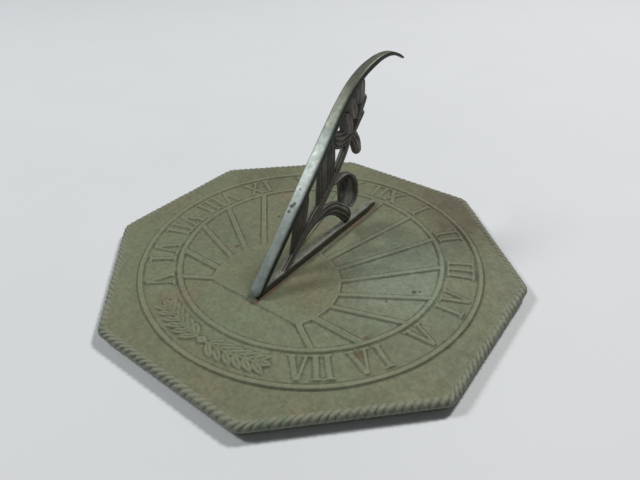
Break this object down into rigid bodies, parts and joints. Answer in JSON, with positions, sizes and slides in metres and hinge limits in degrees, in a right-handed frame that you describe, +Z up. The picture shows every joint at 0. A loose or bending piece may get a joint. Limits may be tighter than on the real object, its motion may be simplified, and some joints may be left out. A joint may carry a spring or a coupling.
{
  "type": "garden sundial",
  "caption": "Octagonal cast garden sundial: rope-bordered dial plate with Roman hour numerals and ribs, and a fixed scythe-shaped gnomon carried by leaves and an ear of grain.",
  "frame": {"origin": "centre of the octagonal rim's underside, the plane the sundial rests on", "axes": "+Y points along the noon line towards XII, +Z is up, +X is towards the afternoon hour III side"},
  "size_m": [0.254, 0.254, 0.1211],
  "materials": {
    "plate_patina": "weathered grey-green patina over cast metal, matt, darker in the crevices",
    "style_bronze": "smooth blue-grey handled bronze with a soft sheen",
    "rail_bronze": "worn grey-brown bronze, darker on the sides",
    "spray_bronze": "dark brown-black bronze with rubbed grey highlights on the ribs",
    "fastener_brass": "dull brass, turned and slotted"
  },
  "bodies": {
    "root": {"dial_plate": "plate_patina", "style": "style_bronze", "base_rail": "rail_bronze", "stem": "spray_bronze", "leaf_front": "spray_bronze", "leaf_middle": "spray_bronze", "leaf_rear": "spray_bronze", "leaf_arch": "spray_bronze", "leaf_hood": "spray_bronze", "ear_collar": "spray_bronze", "ear_drooping_petal": "spray_bronze", "ear_husk_low_south": "spray_bronze", "ear_husk_low_north": "spray_bronze", "ear_husk_high_south": "spray_bronze", "ear_husk_high_north": "spray_bronze", "ear_bud": "spray_bronze", "screw_south": "fastener_brass", "screw_north": "fastener_brass", "washer_south": "fastener_brass", "washer_north": "fastener_brass"}
  },
  "joints": []
}
